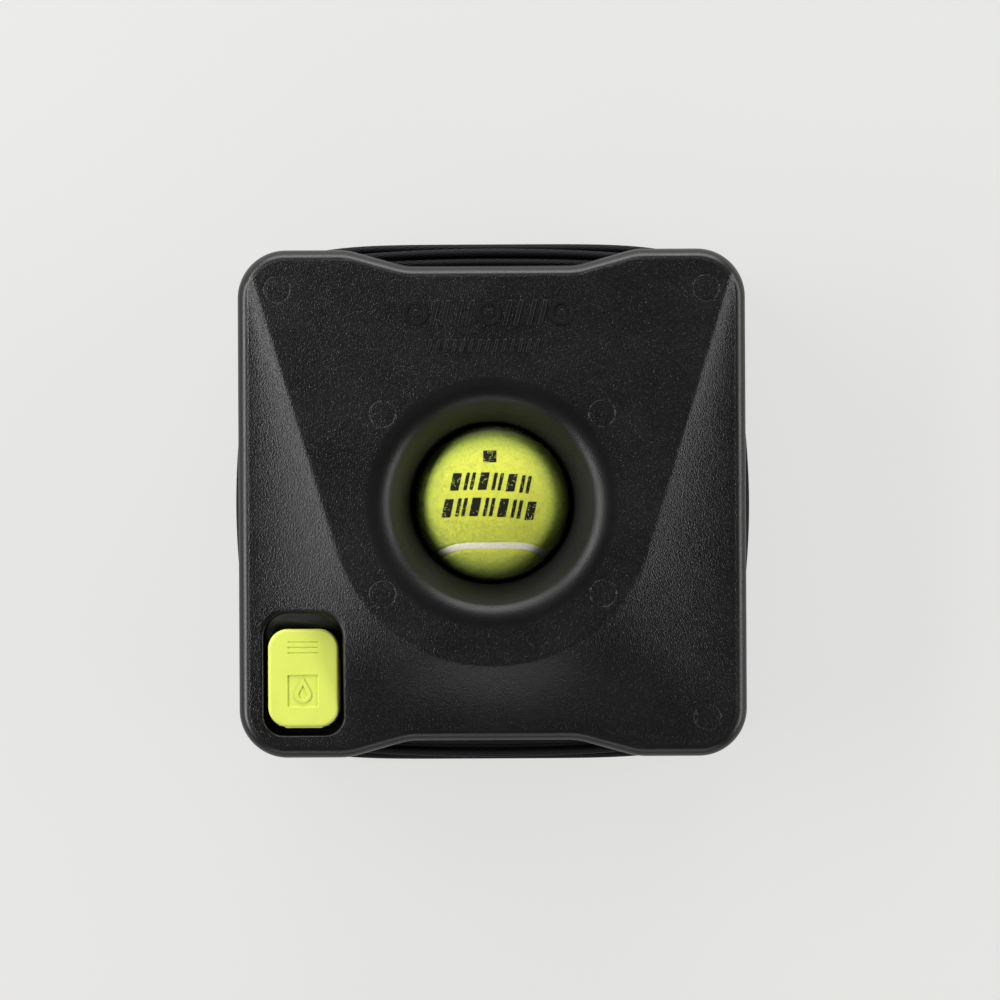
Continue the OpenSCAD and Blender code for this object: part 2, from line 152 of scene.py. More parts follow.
def grid(x0, x1, y0, y1, step):
    """Points in rows, every other row shifted by half a step."""
    rows = np.arange(y0, y1, step * 0.866)
    xs = np.arange(x0, x1, step)
    return np.concatenate([
        np.stack([xs + (i % 2) * step / 2, np.full(len(xs), y)], 1) for i, y in enumerate(rows)])


def ring3(outline, z):
    """The flat outline at height z, a number or one height a point."""
    return np.column_stack([outline, np.broadcast_to(z, len(outline))])


def on_surface(outline, height, lift=0.0):
    """The flat outline laid on a surface height(x, y), and lifted from it."""
    return ring3(outline, height(outline[:, 0], outline[:, 1]) + lift)


def smooth(t):
    t = np.clip(t, 0, 1)
    return t * t * (3 - 2 * t)


def unit_rows(v):
    return v / np.linalg.norm(v, axis=1, keepdims=True)


def run_length(path):
    """Distance along the path to each of its points."""
    return np.concatenate([[0], np.cumsum(np.linalg.norm(np.diff(path, axis=0), axis=1))])


def softened(points, radius, n=5):
    """An open profile whose inner corners are rounded."""
    pts = [np.array(p, float) for p in points]
    out = [pts[0]]
    for a, b, c in zip(pts, pts[1:], pts[2:]):
        u, v = a - b, c - b
        lu, lv = np.linalg.norm(u), np.linalg.norm(v)
        d = min(radius, lu * 0.48, lv * 0.48)
        p, q = b + u / lu * d, b + v / lv * d
        out.extend((1 - t) ** 2 * p + 2 * t * (1 - t) * b + t * t * q for t in np.linspace(0, 1, n))
    return np.array(out + [pts[-1]])


# ---- mesh building ----

class Shell:
    """Collects rings, fills and lathed parts, and makes one welded mesh of them."""

    def __init__(self):
        self.verts = []
        self.faces = []
        self.count = 0

    def add(self, verts, faces):
        self.verts.append(np.asarray(verts, float))
        self.faces.extend([i + self.count for i in face] for face in faces)
        self.count += len(verts)

    def loft(self, rings, wrap=False, ends=False):
        """Quads between rings of equal length. wrap joins the last ring to the first, and ends
        closes both of them."""
        n, k = len(rings[0]), len(rings)
        faces = []
        for j in range(k if wrap else k - 1):
            a, b = j * n, (j + 1) % k * n
            faces += [[a + i, a + (i + 1) % n, b + (i + 1) % n, b + i] for i in range(n)]
        self.add(np.concatenate(rings), faces)
        if ends:
            self.cap(rings[0])
            self.cap(rings[-1])

    def cap(self, ring):
        self.add(ring, [list(range(len(ring)))])

    def lathe(self, profile, centre, n=64, axis="z"):
        """Turns an open profile of (radius, height) about an axis through centre."""
        a = np.linspace(0, 2 * math.pi, n, endpoint=False)
        rings = []
        for r, h in profile:
            u, v, w = r * np.cos(a), r * np.sin(a), np.full(n, float(h))
            local = {"z": (u, v, w), "x": (w, u, v), "y": (v, w, u)}[axis]
            rings.append(np.stack(local, 1) + np.array(centre, float))
        self.loft(rings)

    def fill(self, outer, holes, height, points=()):
        """Triangles over a flat region with holes, each point lifted to height(x, y)."""
        loops = [np.asarray(outer)] + [np.asarray(h) for h in holes]
        edges, start = [], 0
        for loop in loops:
            edges += [(start + i, start + (i + 1) % len(loop)) for i in range(len(loop))]
            start += len(loop)
        coords = np.concatenate(loops + ([np.asarray(points)] if len(points) else []))
        found, _, faces, *_ = delaunay_2d_cdt([Vector(p) for p in coords], edges, [], 1, 1e-6)
        flat = np.array([tuple(p) for p in found])
        middle = np.array([flat[list(f)].mean(0) for f in faces])
        keep = inside(middle, loops[0])
        for hole in loops[1:]:
            keep &= ~inside(middle, hole)
        self.add(on_surface(flat, height), [list(f) for f, k in zip(faces, keep) if k])

    def make(self, name, weld=0.0015, sharp=38, up=False, thickness=0):
        """The mesh object. up turns an open sheet so that its top faces up."""
        mesh = bpy.data.meshes.new(name)
        mesh.from_pydata((np.concatenate(self.verts) * MM).tolist(), [], self.faces)
        bm = bmesh.new()
        bm.from_mesh(mesh)
        bmesh.ops.remove_doubles(bm, verts=bm.verts, dist=weld * MM)
        bmesh.ops.dissolve_degenerate(bm, edges=bm.edges, dist=weld * MM / 4)
        bmesh.ops.recalc_face_normals(bm, faces=bm.faces)
        if up:
            top = max(bm.faces, key=lambda f: f.calc_center_median().z * (abs(f.normal.z) > 0.8))
            if top.normal.z < 0:
                bmesh.ops.reverse_faces(bm, faces=bm.faces)
        bm.to_mesh(mesh)
        bm.free()
        ob = new_object(name, mesh)
        if thickness:
            solid = ob.modifiers.new("thickness", "SOLIDIFY")
            solid.thickness = thickness * MM
            solid.offset = -1
            apply_modifiers(ob)
        finish_shading(ob, sharp)
        return ob


def tube_rings(path, radius, n):
    """Rings square to the path, carried along it without twist."""
    ahead = np.roll(path, -1, 0) - path
    behind = path - np.roll(path, 1, 0)
    ahead[-1], behind[0] = behind[-1], ahead[0]
    tangent = unit_rows(unit_rows(ahead) + unit_rows(behind))
    side = np.cross(tangent[0], (0, 0, 1) if abs(tangent[0][2]) < 0.9 else (1, 0, 0))
    a = np.linspace(0, 2 * math.pi, n, endpoint=False)
    rings = []
    for p, t in zip(path, tangent):
        side = side - t * side.dot(t)
        side /= np.linalg.norm(side)
        other = np.cross(t, side)
        rings.append(p + radius * (np.outer(np.cos(a), side) + np.outer(np.sin(a), other)))
    return rings


def new_object(name, data):
    ob = bpy.data.objects.new(name, data)
    bpy.context.scene.collection.objects.link(ob)
    return ob


def from_bmesh(name, bm):
    mesh = bpy.data.meshes.new(name)
    bm.to_mesh(mesh)
    bm.free()
    return new_object(name, mesh)


def apply_modifiers(ob):
    graph = bpy.context.evaluated_depsgraph_get()
    mesh = bpy.data.meshes.new_from_object(ob.evaluated_get(graph))
    ob.modifiers.clear()
    ob.data = mesh


def finish_shading(ob, sharp):
    ob.data.shade_smooth()
    ob.data.set_sharp_from_angle(angle=math.radians(sharp))


def paint(ob, finish):
    ob.data.materials.clear()
    ob.data.materials.append(MATS[finish])


def dress(ob, body, slot, finish, replaces=()):
    """Material, body and the CAD nodes that the piece stands for. slot is not used."""
    paint(ob, finish)
    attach(ob, body)
    if replaces:
        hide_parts(*replaces)
    return ob


# ---- materials ----

class Shader:
    """A Principled material put together node by node, in object coordinates."""

    def __init__(self, name, color, roughness, **sockets):
        self.mat = bpy.data.materials.new(name)
        self.mat.use_nodes = True
        self.tree = self.mat.node_tree
        self.bsdf = self.tree.nodes["Principled BSDF"]
        self.put(self.bsdf, "Base Color", (*color, 1))
        self.put(self.bsdf, "Roughness", roughness)
        for socket, value in sockets.items():
            self.put(self.bsdf, socket.replace("_", " "), value)
        self.object = self.node("TexCoord").outputs["Object"]

    def node(self, kind):
        return self.tree.nodes.new("ShaderNode" + kind)

    def link(self, out, socket):
        self.put(self.bsdf, socket, out)

    def put(self, node, socket, value):
        if isinstance(value, bpy.types.NodeSocket):
            self.tree.links.new(value, node.inputs[socket])
        else:
            node.inputs[socket].default_value = value

    def stretch(self, scale, rotation=(0, 0, 0)):
        node = self.node("Mapping")
        self.put(node, "Vector", self.object)
        self.put(node, "Scale", scale)
        self.put(node, "Rotation", rotation)
        return node.outputs["Vector"]

    def noise(self, size, detail=3, vector=None, distortion=0):
        """Noise from 0 to 1 whose features are about size millimetres wide."""
        node = self.node("TexNoise")
        self.put(node, "Vector", vector or self.object)
        self.put(node, "Scale", 1 / (size * MM))
        self.put(node, "Detail", detail)
        self.put(node, "Distortion", distortion)
        return node.outputs["Fac"]

    def cells(self, size, feature="F1", vector=None):
        node = self.node("TexVoronoi")
        node.feature = feature
        self.put(node, "Vector", vector or self.object)
        self.put(node, "Scale", 1 / (size * MM))
        return node.outputs["Distance"]

    def math(self, operation, a, b=0.0):
        node = self.node("Math")
        node.operation = operation
        self.put(node, 0, a)
        self.put(node, 1, b)
        return node.outputs[0]

    def add(self, a, b):
        return self.math("ADD", a, b)

    def sub(self, a, b):
        return self.math("SUBTRACT", a, b)

    def mul(self, a, b):
        return self.math("MULTIPLY", a, b)

    def hypot(self, x, y):
        return self.math("SQRT", self.add(self.mul(x, x), self.mul(y, y)))

    def remap(self, value, low, high, to_low=0.0, to_high=1.0):
        node = self.node("MapRange")
        for i, v in enumerate((value, low, high, to_low, to_high)):
            self.put(node, i, v)
        return node.outputs[0]

    def mix(self, factor, a, b):
        node = self.node("Mix")
        node.data_type = "RGBA"
        for i, v in ((0, factor), (6, a), (7, b)):
            self.put(node, i, v if isinstance(v, (float, bpy.types.NodeSocket)) else (*v, 1))
        return node.outputs[2]

    def bump(self, height, depth):
        """depth is the height of the relief in millimetres."""
        node = self.node("Bump")
        self.put(node, "Height", height)
        self.put(node, "Distance", depth * MM)
        self.put(node, "Strength", 1.0)
        self.link(node.outputs["Normal"], "Normal")

    def shades(self, factor, color, low, high):
        """Base colour between two tints of one colour."""
        self.link(self.mix(factor, tint(color, low), tint(color, high)), "Base Color")


def tint(color, k):
    return tuple(min(c * k, 1) for c in color)


def leather_plastic(name, color, roughness=0.34, grain=0.6, depth=0.155, cover=False):
    """Moulded plastic with a fine leather grain, faint clouding and a few specks of dust.
    On the cover the grain fades out on the rounded rim, in the pocket and in the funnel, and the
    funnel's throat is painted lighter as painted light bounced from the ball."""
    s = Shader(name, color, roughness)
    pebbles = s.cells(grain, "SMOOTH_F1", s.stretch((1.15, 0.8, 1), (0, 0, 0.35)))
    worms = s.noise(grain * 0.85, 1, s.stretch((1.2, 0.75, 1), (0, 0, -0.25)))
    relief = s.add(s.mul(pebbles, 1.1), worms)
    relief = s.add(relief, s.mul(s.noise(0.25, 2), 0.25))
    cloud = s.noise(28, 4)
    rough = s.remap(s.add(worms, cloud), 0.6, 1.4, roughness - 0.05, roughness + 0.07)
    if cover:
        grained, gloss, radius = cover_masks(s)
        relief = s.mul(relief, grained)
        rough = s.add(rough, s.remap(radius, FUNNEL_R, FUNNEL_R + 2.5, 0.04, 0.0))
        s.link(gloss, "Specular IOR Level")
    s.bump(relief, depth)
    s.link(rough, "Roughness")
    body = s.mix(s.remap(cloud, 0.3, 0.7), tint(color, 0.86), tint(color, 1.16))
    speck = s.math("LESS_THAN", s.cells(9), 0.016)
    shown = s.mul(speck, s.remap(s.noise(23, 1), 0.45, 0.6))
    if cover:
        # painted light: the throat of the funnel is painted lighter, for light bounced up from the
        # ball
        body = s.mix(s.remap(radius, 40, 46, 1, 0), body, tint(color, 1.7))
    s.link(s.mix(s.mul(shown, 0.5), body, (0.35, 0.35, 0.34)), "Base Color")
    return s.mat


def corner_reach(s, dx, dy):
    """Distance past a box: with a box through the corners' centres, rounded outlines lie at r."""
    outside = s.hypot(s.math("MAXIMUM", dx, 0.0), s.math("MAXIMUM", dy, 0.0))
    return s.add(outside, s.math("MINIMUM", s.math("MAXIMUM", dx, dy), 0.0))


def cover_masks(s):
    """Where the cover is grained, how glossy it is, and the radius from the ball's axis."""
    split = s.node("SeparateXYZ")
    s.put(split, 0, s.stretch((1 / MM,) * 3))
    x, y = s.math("ABSOLUTE", split.outputs[0]), s.math("ABSOLUTE", split.outputs[1])
    radius = s.hypot(x, y)
    funnel = s.remap(radius, FUNNEL_R, FUNNEL_R + 2.5, 0.3, 1.0)
    cx, cy, width, length, r = POCKET
    dx, dy = (s.sub(s.math("ABSOLUTE", s.sub(split.outputs[i], middle)), half - r)
              for i, middle, half in ((0, cx, width / 2), (1, cy, length / 2)))
    pocket = s.remap(corner_reach(s, dx, dy), r, r + 1.2, 0.2, 1.0)
    corner = HALF - CORNER_R
    notch = s.remap(x, NOTCH_END, NOTCH_FLAT, 0, NOTCH_DEPTH)
    reach = corner_reach(s, s.sub(x, corner), s.sub(s.add(y, notch), corner))
    rim_r = CORNER_R - RIM_EDGE
    rim = s.remap(reach, rim_r + 0.3, rim_r - 0.6, 0.12, 1)
    gloss = s.math("MINIMUM", s.remap(funnel, 0.3, 1.0, 0.3, 0.43),
                   s.remap(pocket, 0.2, 1, 0.25, 0.43))
    return s.mul(s.mul(funnel, pocket), rim), gloss, radius


def satin_plastic(name, color, roughness=0.42, depth=0.012):
    """Smooth moulded plastic with slight flow marks."""
    s = Shader(name, color, roughness)
    flow = s.noise(14, 4, s.stretch((1, 0.45, 1)), 0.8)
    fine = s.noise(0.35, 3)
    s.bump(s.add(fine, s.mul(flow, 0.8)), depth)
    s.link(s.remap(s.add(flow, fine), 0.7, 1.3, roughness - 0.06, roughness + 0.08), "Roughness")
    s.shades(s.remap(flow, 0.3, 0.7), color, 0.95, 1.04)
    return s.mat


def rubber(name, color, roughness=0.75):
    """Matte rubber with a dusty bloom."""
    s = Shader(name, color, roughness)
    bloom = s.noise(5, 5)
    s.bump(s.noise(0.3, 3), 0.03)
    s.link(s.remap(bloom, 0.3, 0.7, roughness - 0.1, roughness + 0.12), "Roughness")
    s.shades(s.remap(bloom, 0.35, 0.75), color, 1, 1.7)
    return s.mat


def steel(name, color, roughness=0.32, along=(1, 1, 0.08)):
    """Brushed or drawn steel."""
    s = Shader(name, color, roughness, Metallic=1.0)
    lines = s.noise(0.25, 4, s.stretch(along))
    s.bump(lines, 0.008)
    s.link(s.remap(lines, 0.3, 0.7, roughness - 0.08, roughness + 0.14), "Roughness")
    s.shades(s.noise(3, 3), color, 0.82, 1.1)
    return s.mat


def felt(name, color):
    """Brushed tennis felt: matted fibre in small tufts. Where it turns away from the camera it is
    painted darker and greener, as painted shade at the ball's outline.
    """
    s = Shader(name, color, 0.95, Sheen_Weight=0.25, Sheen_Roughness=0.5)
    tufts = s.noise(2.3, 4, None, 1.2)
    fibre = s.noise(0.45, 4, s.stretch((1, 1, 1), (0.4, 0.2, 0.9)), 2.5)
    s.bump(s.add(fibre, s.mul(tufts, 0.7)), 0.5)
    shade = s.add(s.mul(fibre, 0.7), s.mul(tufts, 0.3))
    # painted shade: the felt goes darker and greener where it faces away from the camera
    rim = s.node("LayerWeight").outputs["Facing"]
    limb_shade_color = tuple(c * k for c, k in zip(color, (0.62, 0.86, 0.5)))
    body = s.mix(s.remap(rim, 0.25, 0.65), color, limb_shade_color)
    light = s.remap(shade, 0.38, 0.62, 0.64, 1.32)
    s.link(s.mix(light, (0, 0, 0), body), "Base Color")
    return s.mat


def ink(name, color):
    """Ink soaked into felt: the fibres still show through it."""
    s = Shader(name, color, 0.95, Specular_IOR_Level=0.15)
    fibre = s.noise(0.45, 4, None, 2.5)
    s.bump(fibre, 0.25)
    s.link(s.mix(s.remap(fibre, 0.6, 0.9), color, (0.13, 0.15, 0.03)), "Base Color")
    return s.mat


def seam_rubber(name, color):
    s = Shader(name, color, 0.62)
    s.bump(s.noise(0.3, 3), 0.03)
    s.shades(s.remap(s.noise(1.1, 4), 0.3, 0.7), color, 0.9, 1.06)
    return s.mat


def braid(name, color):
    """Braided sleeve. The UV map runs once round the cord, and along it in braid lengths."""
    s = Shader(name, color, 0.7, Specular_IOR_Level=0.2)
    split = s.node("SeparateXYZ")
    s.put(split, 0, s.node("UVMap").outputs["UV"])
    around = s.mul(split.outputs[0], 2 * math.pi * 8)
    along = s.mul(split.outputs[1], 2 * math.pi)
    one = s.math("SINE", s.add(around, along))
    two = s.math("SINE", s.sub(around, along))
    over = s.math("MAXIMUM", one, two)
    s.bump(s.add(over, s.mul(s.noise(0.12, 3), 0.5)), 0.07)
    # painted shade: the braid is darker where its relief dips between crossings, and lighter on the
    # crossings
    s.shades(s.remap(over, -0.2, 1.0), color, 0.45, 1.35)
    return s.mat


def backdrop(name):
    """Pale ground that glows a little, so that it stays even all round. It is clear from below."""
    s = Shader(name, (0.1, 0.1, 0.1), 0.9,
               Emission_Color=(0.655, 0.655, 0.64, 1), Emission_Strength=1.0)
    s.bump(s.noise(6, 4), 0.02)
    s.link(s.mix(s.noise(240, 3), (0.095, 0.095, 0.094), (0.105, 0.105, 0.104)), "Base Color")
    s.link(s.sub(1.0, s.node("NewGeometry").outputs["Backfacing"]), "Alpha")
    return s.mat


BLACK = (0.0042, 0.0042, 0.0042)
LIME = (0.68, 0.76, 0.12)
MATS = {
    "cover": leather_plastic("leather_grain_black", BLACK, cover=True),
    "mark": satin_plastic("mark_black", BLACK, 0.38),
    "tray": leather_plastic("tray_black", tint(BLACK, 1.05), 0.36),
    "drum": satin_plastic("satin_black", tint(BLACK, 0.95), 0.5),
    "cup": satin_plastic("cup_black", tint(BLACK, 0.8), 0.55),
    "tank": satin_plastic("tank_grey", (0.05, 0.05, 0.052), 0.48, 0.03),
    "cap": satin_plastic("cap_lime", tint(LIME, 0.97), 0.45),
    "rubber": rubber("black_rubber", (0.011, 0.011, 0.011)),
    "stopper": rubber("grey_rubber", (0.09, 0.09, 0.095), 0.6),
    "core": rubber("ball_rubber", (0.11, 0.11, 0.10)),
    "steel": steel("zinc_steel", (0.52, 0.52, 0.53)),
    "pin": steel("drawn_pin_steel", (0.56, 0.57, 0.58), 0.28, (0.08, 1, 1)),
    "nylon": satin_plastic("black_nylon", (0.024, 0.024, 0.026), 0.4),
    "felt": felt("ball_felt", (0.80, 0.84, 0.06)),
    "fuzz": felt("loose_fibre", (0.86, 0.90, 0.16)),
    "ink": ink("print_ink", (0.011, 0.012, 0.008)),
    "seam": seam_rubber("seam_band", (0.80, 0.76, 0.62)),
    "braid": braid("cord_braid", (0.007, 0.0075, 0.009)),
    "floor": backdrop("pale_floor"),
}


# ---- camera ----

def camera():
    """Straight down on the object, as far away as the object's perspective says."""
    data = bpy.data.cameras.new("camera")
    data.sensor_width = 36
    view_width, distance = 424.8, 1300
    data.lens = data.sensor_width * distance / view_width
    data.clip_end = 20
    cam = new_object("camera", data)
    cam.location = (3.3 * MM, 1.3 * MM, (RIM_Z - 1.5 + distance) * MM)
    cam.rotation_euler = (0, 0, math.radians(-0.28))
    bpy.context.scene.camera = cam


# ---- the wound cord ----

TURNS, ROWS = 8, 4                       # the turns fill the rows twice, inside and outside
ROW_Z = span("elastic_winding")[0][2] + 1.6 + 3.47 * np.arange(ROWS)
BRAID_LENGTH = 4.2
SIDES = ("right", "rear", "left", "front")
BARREL = (102.6, 29, 39.8)               # where the cord enters the end hook
CORD_EXIT = (100.6, -70, 34)             # where it leaves the lower flange
# Slack at the middle of each side, from the lowest row to the top one: inner layer, outer layer
SLACK = (
    {"right": (0, 2.2, 3, 3.4), "rear": (2.6, 3.4, 3.8, 4.3), "left": (2, 3.2, 2.4, 3.4),
     "front": (2.2, 3, 3.6, 2.8)},
    {"right": (3.6, 5.2, 6.9, 4.6), "rear": (4.8, 6.2, 7.7, 5.6), "left": (4.2, 6.9, 5.4, 4.4),
     "front": (5, 6.6, 4.6, 5.2)})
STAGES = ((-62, -35), (-35, -8), (-8, 20))    # where rows change, along the right side


def slack_shape(side, t, amount):
    """How far a strand hangs out, t from -1 to 1 along the side."""
    if side in ("rear", "front") and amount > 6:
        return amount * (1 - abs(t) ** 5)
    return amount * (1 - t * t) ** (1 if side in ("rear", "front") else 2)


def strand(turn):
    """Row and layer of one turn: up the inner layer, then down the outer one."""
    return (turn, 0) if turn < ROWS else (TURNS - 1 - turn, 1)


def layer_reach(layer):
    """Distance of a layer's centreline from the middle, beside the drum's flat sides."""
    return DRUM_HALF + CORD_R + 2 * CORD_R * layer


def side_point(side, t, offset):
    y = t * CORNER_AT
    return {"right": (offset, y), "rear": (-y, offset),
            "left": (-offset, -y), "front": (y, -offset)}[side]


def winding_path():
    """Centreline of the cord: out of the flange, round the drum, and into the hook."""
    ex, ey, ez = CORD_EXIT
    bend = 6.4
    path = [(ex, ey, z) for z in np.arange(ez - 9, ez, 1.0)]
    path += [(ex, ey + bend * (1 - math.cos(a)), ez + bend * math.sin(a))
             for a in np.linspace(0, math.pi / 2, 10)]
    low = path[-1][2]
    for turn in range(TURNS + 1):
        for side in SIDES:
            for t in np.linspace(-1, 1, 121):
                y = t * CORNER_AT
                if side == "right":
                    if turn == 0 and y < ey + bend + 1:
                        continue
                    if turn == TURNS and y > BARREL[1] + 5:
                        break
                    path.append(right_side(turn, t, y, low))
                    continue
                row, layer = strand(turn)
                offset = layer_reach(layer) + slack_shape(side, t, SLACK[layer][side][row])
                path.append((*side_point(side, t, offset), ROW_Z[row]))
            if turn == TURNS:
                break
            row, layer = strand(turn)
            path += corner_arc(SIDES.index(side), POST_R + CORD_R + 2 * CORD_R * layer, ROW_Z[row])
    return evened(np.array(path), 1.0)


def right_side(turn, t, y, low):
    """The side where turns change rows. The outer rows step down first, then one strand
    moves out to the outer layer, and then the inner rows step up."""
    down, out, up = (smooth((y - a) / (b - a)) for a, b in STAGES)
    if turn == 0:
        x = CORD_EXIT[0] + (layer_reach(0) - CORD_EXIT[0]) * smooth((y + 64) / 14)
        return x, y, low + (ROW_Z[0] - low) * up
    row, layer = strand(turn - 1)
    base = layer_reach(layer)
    slack = slack_shape("right", t, SLACK[layer]["right"][row])
    if turn == TURNS:
        x = base + slack * (1 - down) + (BARREL[0] - base) * down
        return x, y, ROW_Z[0] + (BARREL[2] - ROW_Z[0]) * down
    next_row, next_layer = strand(turn)
    step = down if layer else (out if next_layer else up)
    next_slack = slack_shape("right", t, SLACK[next_layer]["right"][next_row])
    x = (base + slack) * (1 - step) + (layer_reach(next_layer) + next_slack) * step
    return x, y, ROW_Z[row] + (ROW_Z[next_row] - ROW_Z[row]) * step


def corner_arc(corner, r, z):
    cx, cy = ((CORNER_AT, CORNER_AT), (-CORNER_AT, CORNER_AT), (-CORNER_AT, -CORNER_AT),
              (CORNER_AT, -CORNER_AT))[corner]
    return [(*p, z) for p in arc(cx, cy, r, corner * 90 + 6, corner * 90 + 84, 14)]


def evened(path, step):
    """Points a step apart along the path, with its small kinks drawn smooth."""
    length = run_length(path)
    at = np.linspace(0, length[-1], int(length[-1] / step))
    path = np.stack([np.interp(at, length, path[:, i]) for i in range(3)], 1)
    for _ in range(6):
        path[1:-1] = path[1:-1] / 2 + (path[:-2] + path[2:]) / 4
    return path


def elastic_cord():
    path = winding_path()
    coarse = np.concatenate([path[:-1:3], path[-1:]])
    sides = 12
    rings = tube_rings(coarse, CORD_R, sides)
    shell = Shell()
    shell.loft(rings, ends=True)
    cord = shell.make("elastic_cord", weld=0.0001, sharp=80)
    length = run_length(coarse)
    uv = cord.data.uv_layers.new(name="braid")
    across = {}
    for r in range(len(rings)):
        for i in range(sides):
            across[r * sides + i] = (i / sides, length[r] / BRAID_LENGTH)
    for poly in cord.data.polygons:
        if len(poly.vertices) != 4:
            continue
        corners = [across[v] for v in poly.vertices]
        seam = max(c[0] for c in corners) > 0.8
        for loop, (u, v) in zip(poly.loop_indices, corners):
            uv.data[loop].uv = (1.0 if seam and u == 0 else u, v)
    dress(cord, "base", "cord_fabric", "braid", ["elastic_winding"])
    return cord, coarse, length[-1]


# ---- the end hook ----

def end_hook():
    """Snap hook: a barrel that holds the cord, a flat ring and a sprung gate."""
    x, y0, z = BARREL
    low, high = span("end_hook")
    shell = Shell()
    barrel = [(1.5, 0), (2.1, 0), (2.2, 1.2), (1.95, 1.8), (1.95, 7.2), (2.2, 8), (2.2, 11),
              (1.5, 11), (1.5, 0)]
    shell.lathe(softened(barrel, 0.3), (x, y0, z), 40, "y")
    centre_y = (y0 + 9 + high[1]) / 2
    outer = rounded(x, centre_y, high[0] - low[0], high[1] - y0 - 9, 4.3, 16, 1.0)
    t = (high[2] - low[2]) / 2
    section = softened([(0, 0), (0, t - 0.1), (1.25, t), (2.5, t - 0.1), (2.5, 0)], 0.7)
    section = np.concatenate([section, section[::-1][1:-1] * (1, -1)])
    shell.loft([ring3(inset(outer, d), z + h) for d, h in section], wrap=True)
    hook = dress(shell.make("snap_hook"), "base", "hook_plastic", "nylon", ["end_hook"])
    gate = Shell()
    gate_x, hinge_y = x - 3.2, centre_y + 6.4
    bar = np.array([(gate_x, y, z) for y in np.linspace(centre_y - 7.4, hinge_y, 12)])
    gate.loft(tube_rings(bar, 0.75, 12), ends=True)
    rivet = [(0, -1.9), (1.0, -1.9), (1.0, 1.9), (0, 1.9)]
    gate.lathe(softened(rivet, 0.2), (gate_x, hinge_y, z), 20)
    dress(gate.make("hook_gate"), "base", "anchor_steel", "steel")
    return hook


# ---- the cover ----

def ramp(t, b):
    return np.where(t < -b, 0, np.where(t < b, (t + b) ** 2 / (4 * b), np.where(
        t < 1 - b, t, np.where(t < 1 + b, 1 - (1 + b - t) ** 2 / (4 * b), 1))))


def notch_edge(x):
    along = (NOTCH_END - np.abs(x)) / (NOTCH_END - NOTCH_FLAT)
    return HALF - NOTCH_DEPTH * ramp(along, NOTCH_ROUND)


def cover_outline():
    c = HALF - CORNER_R
    line = np.linspace(-c, c, 116)
    side = np.stack([np.full(len(line), HALF), line], 1)
    top = np.stack([line[::-1], notch_edge(line)], 1)
    corner = arc(c, c, CORNER_R, 0, 90, 22)[1:-1]
    half = np.concatenate([side, corner, top, corner[::-1] * (-1, 1)])
    return np.concatenate([half, -half])


OUTLINE = cover_outline()
RIM_RING = inset(OUTLINE, RIM_EDGE)


def rim_far(a):
    """Distance from the ball's axis to the inner edge of the rim, in direction a."""
    angles = np.arctan2(RIM_RING[:, 1], RIM_RING[:, 0])
    order = np.argsort(angles)
    return np.interp(a, angles[order], np.linalg.norm(RIM_RING, axis=1)[order], period=2 * math.pi)


def fan_reach(a):
    """Distance from the ball's axis to the plateau's edge."""
    dot = np.abs(np.cos(a)) * math.cos(CREASE_ANGLE) - np.sin(a) * math.sin(CREASE_ANGLE)
    return np.where(np.sin(a) < -math.sin(CREASE_ANGLE), FAN_R, FAN_R / np.maximum(dot, 0.2))


def fan(_, y):
    return FAN_Z - FAN_SLOPE * y


def skin(x, y):
    """Height of the cover's skin, apart from the funnel and the pocket."""
    a, r = np.arctan2(y, x), np.hypot(x, y)
    far, near = rim_far(a), fan_reach(a)
    past = CREASE_SOFT * np.logaddexp(0, (r - near) / CREASE_SOFT)
    s = np.clip(past / np.hypot(np.maximum(far - near, 0), FLANK_MIN), 0, 1)
    z = RIM_Z + (fan(x, (r - past) * np.sin(a)) - RIM_Z) * (1 - s) ** FLANK_POWER
    for bx, by in sink_rings():
        z = z - SINK_DEPTH * np.exp(-((np.hypot(x - bx, y - by) - SINK_R) / SINK_WIDTH) ** 2)
    return z


def sink_rings():
    """Middles of the faint marks over the screw bosses. The pocket takes the first corner."""
    signs = [(sx, sy) for sx in (-1, 1) for sy in (-1, 1)]
    corners = [(sx * CORNER_AT, sy * CORNER_AT) for sx, sy in signs[1:]]
    return corners + [(sx * CUP_BOSS[0], sy * CUP_BOSS[1]) for sx, sy in signs]


def funnel_rings(ring):
    """The rounded edge, the cone and the throat round the ball."""
    profile = [(FUNNEL_R - FUNNEL_ROUND * math.sin(a), -FUNNEL_ROUND * (1 - math.cos(a)))
               for a in np.linspace(0, CONE_ANGLE, 15)[1:]]
    cone = [profile[-1], (MOUTH_R + 0.25, -14.0), (MOUTH_R, -17.4)]
    profile += list(softened(cone, 1.6, 6)[1:-1])
    angle = np.arctan2(ring[:, 1], ring[:, 0])
    unit = np.stack([np.cos(angle), np.sin(angle)], 1)
    rings = [on_surface(ring, fan)]
    for r, depth in profile:
        fade = smooth((r - MOUTH_R) / 7)
        rings.append(ring3(unit * r, FAN_Z + depth - FAN_SLOPE * unit[:, 1] * r * fade))
    rings.append(ring3(unit * MOUTH_R, COVER_LOW[2] - 1.0))
    return rings


def rim_rings():
    """The rounded rim and the side wall, from the skin's edge to the bottom."""
    top = skin(RIM_RING[:, 0], RIM_RING[:, 1])
    rings = []
    power = 2 / 1.7
    for a in np.linspace(0, math.pi / 2, 9):
        ring = inset(OUTLINE, RIM_EDGE * (1 - math.sin(a) ** power))
        rings.append(ring3(ring, RIM_LOW + (top - RIM_LOW) * math.cos(a) ** power))
    low = COVER_LOW[2]
    rings += [ring3(inset(OUTLINE, d), low + h) for d, h in ((0, 0.5), (0.15, 0.15), (0.5, 0))]
    return rings


def pocket_floor(x, y):
    """Flat floor with a scoop for a fingertip at the far end."""
    _, cy, _, length, _ = POCKET
    end = cy + length / 2
    top = skin(x, np.full(np.shape(x), end)) - LIP - 0.4
    t = np.clip((y - end + 14.5) / 14.3, 0, 1)
    return POCKET_FLOOR + (top - POCKET_FLOOR) * (0.6 * t + 0.4 * smooth(t))


